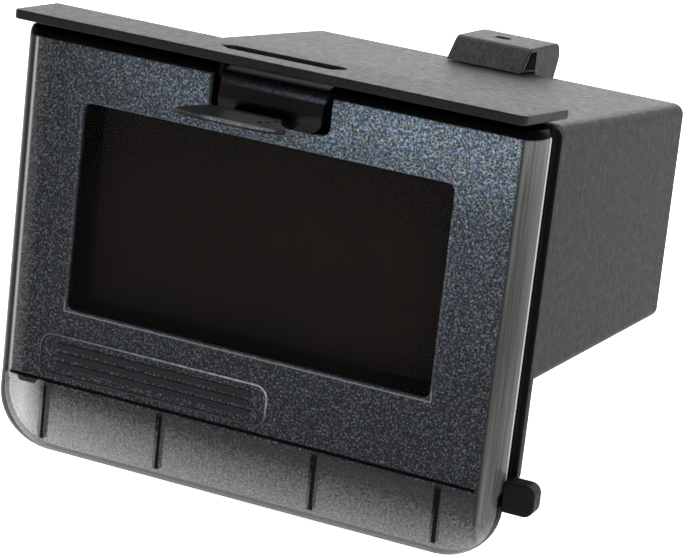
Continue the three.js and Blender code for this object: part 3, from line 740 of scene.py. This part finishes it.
# ---- Finishes ---------------------------------------------------------------------------------------------
def smoked_plastic():
    """The door: a smoke-tinted face with a fine sparkling grain, flared sides that are smooth, and a clearer
    skirt below the hinge rod. Light and shade are painted on it: the grain lighter towards the top right,
    highlights along edges, and dark lines, bands and shadows where the hood, the rod and the ribs shade it."""
    s = Shader("smoked_plastic")
    black = (0.001, 0.001, 0.0015)
    corner_x, corner_z, corner_radius = 0.0878, -0.0855, 0.025  # the skirt's round corners
    door_depth = 0.0133  # from the face to the tray's rear edge
    x, y, z = s.coordinates()
    across = s.math("ABSOLUTE", x)
    side = s.map(across, 0.1052, 0.1062, 0, 1)
    # Painted shade: the face black above this height, under the hood.
    top = s.map(z, 0.0660, 0.0668, 0, 1)
    below_rod = s.map(z, -0.0765, -0.0795, 0, 1)

    # The grain, with painted light: dark at the lower left and painted lighter towards the top right.
    grain = s.noise(1050, 3, 0.75)
    hue = s.multiplied(s.noise_colour(900), (1.8, 2.0, 2.15))
    height = s.map(z, -0.07, 0.07, 0, 1)
    rise = s.ramp(height, [(0, 0.0), (0.25, 0.02), (0.5, 0.12), (0.72, 0.22), (0.95, 0.85)])
    painted_light = s.math("MULTIPLY", s.map(x, -0.1, 0.06, 0.08, 1.0), rise)
    # A shaded and a lit tone of the grain, mixed by the painted light.
    dim = s.ramp(grain, [
        (0.43, (0.0002, 0.0002, 0.0004)), (0.53, (0.007, 0.007, 0.009)), (0.66, (0.07, 0.072, 0.08)),
    ])
    bright = s.ramp(grain, [
        (0.36, (0.012, 0.014, 0.016)), (0.50, (0.085, 0.100, 0.115)), (0.66, (0.34, 0.38, 0.43)),
    ])
    face = s.multiplied(s.mix(painted_light, dim, bright), hue)
    fade = s.map(z, -0.078, -0.105, 1.0, 0.25)
    # Painted light: a warmer, lighter band along the left edge of the face, strongest towards the bottom.
    painted_edge_light = s.math("MULTIPLY", s.map(x, -0.098, -0.1045, 0, 1), s.map(z, -0.08, 0.06, 0.9, 0.35))
    painted_edge_light_colour = s.ramp(grain, [(0.4, (0.03, 0.028, 0.024)), (0.6, (0.11, 0.10, 0.09))])
    face = s.mix(painted_edge_light, face, s.multiplied(painted_edge_light_colour, hue))
    # Painted highlight: a thin light line along the left edge of the face.
    left_rim_highlight = s.math("MULTIPLY", s.band(x, -0.1052, -0.1048, 0.0008), 0.7)
    face = s.mix(left_rim_highlight, face, (0.36, 0.37, 0.35))
    # Painted highlight: a thin light line round the window, strongest along its bottom edge.
    window_edge_highlight = s.frame_line(x, z, (-0.0822, 0.0818), (-0.0449, 0.0440), 0.0005)
    window_edge_highlight = s.math("MULTIPLY", window_edge_highlight, s.map(z, -0.0415, -0.0395, 1.0, 0.2))
    face = s.mix(window_edge_highlight, face, (0.10, 0.11, 0.12))

    # The flared sides, with painted light and shade: the left one painted black, and on the right a streaky
    # band painted lighter, with a painted dark line where it meets the face and a painted highlight on its
    # rear rim.
    streaks = s.noise(900, 3, 0.6, (1, 1, 0.02))
    # Painted light: the right side's band lighter at the bottom and at the top.
    brightness = s.ramp(s.map(z, -0.1, 0.07, 0, 1), [(0, 0.072), (0.5, 0.030), (0.85, 0.045), (1, 0.09)])
    streak_colour = s.ramp(streaks, [(0.35, (0.6, 0.6, 0.58)), (0.65, (1.4, 1.4, 1.34))])
    clear = s.multiplied(brightness, streak_colour)
    # Painted shade: a dark line where the face turns into the side.
    clear = s.mix(s.map(across, 0.1062, 0.1072, 1, 0), clear, (0.006, 0.006, 0.005))
    # Painted highlight: the rear rim of the right side.
    flank = s.mix(s.map(y, -0.0108, -0.0100, 0, 1), clear, (0.42, 0.42, 0.40))
    # Painted shade: the left side black.
    flank = s.mix(s.map(x, -0.001, 0.001, 0, 1), black, flank)
    skirt_side = s.math("MULTIPLY", s.map(x, -0.09, -0.1, 0, 1), below_rod)
    side = s.math("MULTIPLY", side, s.math("SUBTRACT", 1.0, skirt_side))

    # The skirt, which ends in a painted dark contour, and a painted shadow of the rod across the door.
    beside = s.math("MAXIMUM", s.math("SUBTRACT", across, corner_x), 0.0)
    below = s.math("MAXIMUM", s.math("SUBTRACT", corner_z, z), 0.0)
    reach = s.length(beside, below)
    painted_contour = s.math("MAXIMUM", s.map(reach, 0.0226, 0.0232, 0, 1), s.map(z, -0.1077, -0.1081, 0, 1))
    painted_contour = s.math("MULTIPLY", painted_contour, s.map(x, 0.09, 0.1, 1, 0))
    painted_contour = s.math("MULTIPLY", painted_contour, s.math("MULTIPLY", below_rod, s.map(y, -0.0118, -0.0113, 1, 0)))
    # Painted shadow: a dark line where the rod and its shadow lie behind the door.
    rod = s.math("MULTIPLY", s.band(z, -0.0770, -0.0758, 0.0004), s.map(across, 0.1045, 0.1055, 1, 0))
    # The painted contour continues round the lower right corner.
    corner = s.math("MULTIPLY", s.map(reach, 0.0240, 0.0244, 0, 1), s.map(x, 0.08, 0.085, 0, 1))
    painted_contour = s.math("MAXIMUM", painted_contour, s.math("MULTIPLY", corner, below_rod))
    dark = s.math("MAXIMUM", s.math("MAXIMUM", painted_contour, rod), top)
    # Painted shadows of the ribs behind the skirt.
    shadow = 0.0
    for rib in RIB_PLACES:
        shadow = s.math("MAXIMUM", shadow, s.band(x, rib * MM - 0.0008, rib * MM + 0.0018, 0.0003))
    above_rib_end = s.map(z, -0.1026, RIB_LOW * MM, 1, 0)
    shadow = s.math("MULTIPLY", s.math("MULTIPLY", shadow, below_rod), above_rib_end)
    dark = s.math("MAXIMUM", dark, s.math("MULTIPLY", shadow, 0.92))
    haze_colour = s.ramp(grain, [(0.35, (0.016, 0.016, 0.015)), (0.65, (0.078, 0.075, 0.069))])
    haze_and_shade = s.multiplied(haze_colour, hue)
    # Painted shade: the skirt darkened towards the rod.
    haze_and_shade = s.mix(s.map(z, -0.0790, -0.1000, 0.88, 0), haze_and_shade, (0.006, 0.006, 0.007))
    colour = s.mix(below_rod, face, haze_and_shade)
    colour = s.mix(side, colour, flank)
    s.drive("Base Color", s.mix(dark, colour, black))

    grained = s.math("MULTIPLY", s.math("SUBTRACT", 1.0, side), fade)
    s.drive("Roughness", s.map(grained, 0, 1, 0.22, 0.42))
    s.bump(s.math("MULTIPLY", grain, grained), 0.0004, 0.8)
    # The skirt's outer surface carries all of its tint, so that its inner one doesn't show.
    steep = s.math("POWER", s.math("DIVIDE", below, s.math("ADD", reach, 0.000001)), 4.5)
    start = s.math("SUBTRACT", 0.0179, s.math("MULTIPLY", steep, 0.0062))
    past_start = s.math("MAXIMUM", s.math("SUBTRACT", reach, start), 0.0)
    bend = s.math("DIVIDE", past_start, s.math("SUBTRACT", corner_radius, start))
    depth = s.math("DIVIDE", s.math("ADD", y, -DOOR_REAR * MM), door_depth)
    bulge = s.length(bend, depth)
    thin = s.map(s.math("ADD", z, s.math("MULTIPLY", x, 0.03)), -0.0825, -0.1070, 0.995, 0.81)
    thin = s.math("ADD", thin, s.map(x, -0.1, 0.1, 0.0, 0.02))
    thin = s.math("ADD", thin, s.map(x, -0.088, -0.098, 0, -0.24))
    thin = s.math("ADD", thin, s.map(grain, 0.35, 0.65, 0.03, -0.03))
    thin = s.math("MULTIPLY", thin, s.map(bulge, 0.86, 0.92, 0.05, 1))
    alpha = s.math("MAXIMUM", s.math("SUBTRACT", 0.95, below_rod), thin)
    s.drive("Alpha", s.math("MAXIMUM", alpha, s.math("MULTIPLY", dark, 0.97)))
    s.drive("Specular IOR Level", s.map(dark, 0.2, 1, 0.12, 0.01))
    return s.material


def latch_plastic():
    """The latch: black, with painted highlights along its bend and on the lip's front edge, and painted shade
    that makes it black below the bend, at its top under the hood and under the lip.
    """
    s = Shader("latch_plastic")
    x, y, z = s.coordinates()
    speckle = s.noise(900, 2, 0.75)
    upper = s.ramp(speckle, [(0.4, (0.003, 0.003, 0.004)), (0.65, (0.016, 0.017, 0.022))])
    # Painted shade: black below the bend.
    colour = s.mix(s.map(z, 0.0640, 0.0652, 0, 1), (0.0012, 0.0012, 0.0013), upper)
    # Painted highlight along the bend.
    bend = s.math("MULTIPLY", s.band(z, 0.0648, 0.0656, 0.0008), s.map(x, -0.021, 0.016, 0.15, 1.0))
    bend = s.math("MULTIPLY", bend, s.map(speckle, 0.35, 0.6, 0.2, 1.0))
    colour = s.mix(s.math("MULTIPLY", bend, s.map(y, -0.0215, -0.0225, 0, 1)), colour, (0.05, 0.062, 0.08))
    # Painted shade: darkened at the top, under the hood.
    colour = s.mix(s.map(z, 0.0672, 0.0686, 0, 0.95), colour, (0.001, 0.001, 0.001))
    on_lip = s.map(y, -0.0265, -0.0275, 0, 1)
    top = s.ramp(speckle, [(0.35, (0.002, 0.002, 0.0025)), (0.65, (0.015, 0.015, 0.017))])
    # Painted highlight: the lip's front edge takes this lighter colour.
    edge = s.ramp(speckle, [(0.35, (0.03, 0.03, 0.032)), (0.65, (0.13, 0.13, 0.135))])
    painted_edge_highlight = s.math("MULTIPLY", s.map(y, -0.0545, -0.0565, 0, 1), s.map(x, -0.014, -0.008, 0.1, 1.0))
    lip = s.mix(s.math("MULTIPLY", painted_edge_highlight, s.map(z, 0.0577, 0.0580, 0, 1)), top, edge)
    # Painted shade: the lip's underside black.
    lip = s.mix(s.map(z, 0.0572, 0.0577, 1, 0), lip, (0.001, 0.001, 0.001))
    s.drive("Base Color", s.mix(on_lip, colour, lip))
    s.drive("Roughness", s.map(speckle, 0.3, 0.7, 0.28, 0.4))
    s.bump(speckle, 0.00008, 0.8)
    s.set(Specular_IOR_Level=0.09)
    return s.material


def edging_plastic():
    """The badge's raised edging, with painted light that makes it lighter towards its top right."""
    s = Shader("edging_plastic")
    x, _, z = s.coordinates()
    # Painted light: lighter towards the top right, speckled by noise.
    painted_light = s.math("MULTIPLY", s.map(x, -0.09, 0.008, 0.15, 1.0), s.map(z, -0.0715, -0.058, 0.08, 1.0))
    speckled_painted_light = s.math("MULTIPLY", painted_light, s.map(s.noise(600, 2, 0.7), 0.35, 0.6, 0.5, 1.1))
    s.drive("Base Color", s.mix(speckled_painted_light, (0.004, 0.004, 0.005), (0.20, 0.205, 0.21)))
    s.set(Roughness=0.3, Specular_IOR_Level=0.15)
    return s.material


def smooth_tint(name, colour, alpha, rough, specular):
    """A smooth material that an alpha under 1 makes see-through."""
    s = Shader(name)
    s.drive("Base Color", s.ramp(s.noise(60, 3), [(0.3, colour), (0.7, tuple(c * 1.25 for c in colour))]))
    s.drive("Roughness", s.map(s.noise(400, 3), 0.3, 0.7, rough - 0.04, rough + 0.05))
    s.set(Alpha=alpha, Specular_IOR_Level=specular)
    return s.material


def rubber():
    """The door seal's matt black."""
    s = Shader("rubber")
    s.drive("Base Color", s.ramp(s.noise(400), [(0.3, 0.006), (0.7, 0.014)]))
    s.bump(s.noise(1500), 0.0001, 0.6)
    s.set(Roughness=0.85, Specular_IOR_Level=0.2)
    return s.material


def circuit_board():
    """Green board with a pattern of lighter green cells."""
    s = Shader("circuit_board")
    tracks = s.cells(220, 0.2)
    s.drive("Base Color", s.ramp(tracks, [(0.3, (0.008, 0.07, 0.03)), (0.36, (0.03, 0.16, 0.07))]))
    s.bump(tracks, 0.0001, 0.4)
    s.set(Roughness=0.4)
    return s.material


casing_tones = (0.003, 0.003, 0.0032), (0.009, 0.009, 0.009)
trim_tones = (0.002, 0.002, 0.003), (0.004, 0.004, 0.0055)
# The clip's tones are lighter than the casing's, as painted light on it.
clip_lit_tones = (0.014, 0.015, 0.016), (0.038, 0.041, 0.043)
grip_tones = (0.001, 0.001, 0.0012), (0.003, 0.003, 0.0033)
shroud_tones = (0.001, 0.001, 0.001), (0.002, 0.002, 0.002)
part_tones = (0.012, 0.012, 0.013), (0.024, 0.024, 0.026)
key_tones = (0.09, 0.095, 0.10), (0.13, 0.135, 0.14)
# Where the flange's painted edge highlight shows: the y before which and the half-width beyond which.
flange_highlight_edge = (-0.0046, 0.1146)
# The side arguments below paint shade on the sides of the casing, the flange and the clip.
casing_finish = moulded_plastic("casing_plastic", *casing_tones, 0.42, 1400, 0.0003, 0.075, side=0.0905)
hood_finish = moulded_plastic("hood_plastic", *casing_tones, 0.42, 1400, 0.0003, 0.075)
flange_finish = moulded_plastic("flange_plastic", *casing_tones, 0.42, 1400, 0.0002, 0.06, flange_highlight_edge, 0.113)
trim_finish = moulded_plastic("trim_plastic", *trim_tones, 0.3, 900, 0.00008, 0.19)
clip_finish = moulded_plastic("clip_plastic_lit", *clip_lit_tones, 0.45, 1400, 0.0003, 0.09, side=0.0178)
grip_finish = moulded_plastic("grip_plastic", *grip_tones, 0.5, 900, 0.0001, 0.06)
shroud_finish = moulded_plastic("shroud_plastic", *shroud_tones, 0.6, 900, 0.00008, 0.03)
part_finish = moulded_plastic("part_plastic", *part_tones, 0.5, 1200, 0.0001, 0.4)
key_finish = moulded_plastic("key_plastic", *key_tones, 0.5, 1200, 0.0001, 0.4)
zinc_finish = metal("zinc", (0.55, 0.57, 0.58), 0.42)
steel_finish = metal("steel", (0.62, 0.62, 0.62), 0.3)
black_steel = metal("black_steel", (0.05, 0.05, 0.052), 0.45)
aluminium_finish = metal("aluminium", (0.7, 0.71, 0.72), 0.38)
smoked_finish = smoked_plastic()
rib_finish = smooth_tint("rib_plastic", (0.002, 0.002, 0.002), 1.0, 0.5, 0.1)
bar_finish = smooth_tint("bar_plastic", (0.002, 0.002, 0.003), 1.0, 0.3, 0.12)
window_finish = smooth_tint("window_plastic", (0.0022, 0.0018, 0.0016), 0.42, 0.07, 0.02)
screen_finish = smooth_tint("screen", (0.036, 0.029, 0.025), 1.0, 0.25, 0.06)
rubber_finish = rubber()
board_finish = circuit_board()

# ---- Pieces -----------------------------------------------------------------------------------------------
make_casing(casing_finish)
make_flange(flange_finish)
make_hood(hood_finish)
make_door(smoked_finish, rib_finish)
make_pane(window_finish)
make_badge(edging_plastic(), bar_finish)
make_latch(latch_plastic())
make_clip(clip_finish)
make_rod(black_steel, grip_finish)
make_shroud_and_seal(shroud_finish, rubber_finish)

SLOT_FINISH = {
    "casing_plastic": casing_finish,
    "trim_plastic": trim_finish,
    "bright_steel": steel_finish,
    "zinc_steel": zinc_finish,
    "screen_glass": screen_finish,
    "component_plastic": part_finish,
    "circuit_board": board_finish,
    "key_plastic": key_finish,
    "heatsink_aluminium": aluminium_finish,
}
BODY_OF = {node: body for body, nodes in frame["record"]["behaviour"]["bodies"].items() for node in nodes}
REBUILT = {
    "casing_body", "front_flange", "hood_plate", "door_cover", "door_window", "badge_plate", "latch_tongue",
    "roof_clip", "hinge_rod", "hinge_rod_grip", "display_shroud", "door_seal",
}
for part in frame["record"]["subparts"]:
    node, slot = part["node"], part["material_slot"]
    if node in REBUILT:
        continue
    finish = black_steel if node in ("latch_pin", "latch_spring") else SLOT_FINISH[slot]
    place_piece(copy_of(node), BODY_OF[node], finish, [node])


# ---- Stage, camera and light ------------------------------------------------------------------------------
def make_floor():
    """A wide light plane just under the part."""
    low, reach = (DOOR_LOW.z - 12) * MM, 6
    corners = [(x * reach, y * reach, low) for x, y in ((-1, -1), (1, -1), (1, 1), (-1, 1))]
    mesh = bpy.data.meshes.new("floor")
    mesh.from_pydata(corners, [], [(0, 1, 2, 3)])
    plane = bpy.data.objects.new("floor", mesh)
    bpy.context.scene.collection.objects.link(plane)
    s = Shader("floor")
    s.set(Base_Color=(0.93, 0.93, 0.93, 1), Roughness=0.9, Specular_IOR_Level=0.1)
    s.set(Emission_Color=(1, 1, 1, 1), Emission_Strength=0.85)
    mesh.materials.append(s.material)


make_floor()


def aim(thing, place, forward, down):
    """Points the camera along forward, with its picture's down direction given."""
    right = down.cross(forward)
    thing.matrix_world = Matrix.Translation(place) @ Matrix((right, -down, -forward)).transposed().to_4x4()


azimuth, elevation, roll = (math.radians(v) for v in (22.345, 16.814, 6.570))
flat = math.cos(elevation)
forward = Vector((-math.sin(azimuth) * flat, math.cos(azimuth) * flat, -math.sin(elevation)))
level = Vector((math.cos(azimuth), math.sin(azimuth), 0))
plumb = forward.cross(level)
camera = bpy.data.objects.new("camera", bpy.data.cameras.new("camera"))
bpy.context.scene.collection.objects.link(camera)
camera.data.lens = 164.9
camera.data.sensor_width = 36
camera.data.clip_start = 0.05
aim(camera, Vector((0.4896, -1.1169, 0.3540)), forward, plumb * math.cos(roll) + level * math.sin(roll))
bpy.context.scene.camera = camera


def lamp(name, place, target, size, power):
    """A rectangular lamp that shines from place towards target."""
    data = bpy.data.lights.new(name, "AREA")
    data.shape = "RECTANGLE"
    data.size, data.size_y = size
    data.energy = power
    light = bpy.data.objects.new(name, data)
    bpy.context.scene.collection.objects.link(light)
    light.location = place
    light.rotation_mode = "QUATERNION"
    light.rotation_quaternion = (Vector(target) - Vector(place)).to_track_quat("-Z", "Y")


lamp("back_panel", (0.2, 2.6, 0.75), (0, 0, 0.05), (4.5, 1.5), 45)
lamp("top_panel", (0.1, 0.0, 1.8), (0, 0.1, 0), (1.8, 1.4), 14)
lamp("right_key", (0.75, -0.8, 1.0), (0.08, 0, 0.03), (0.35, 0.35), 5)

world = bpy.data.worlds.new("studio")
bpy.context.scene.world = world
world.use_nodes = True
world.node_tree.nodes["Background"].inputs["Color"].default_value = (1, 1, 1, 1)
world.node_tree.nodes["Background"].inputs["Strength"].default_value = 0.95
bpy.context.scene.view_settings.view_transform = "Standard"
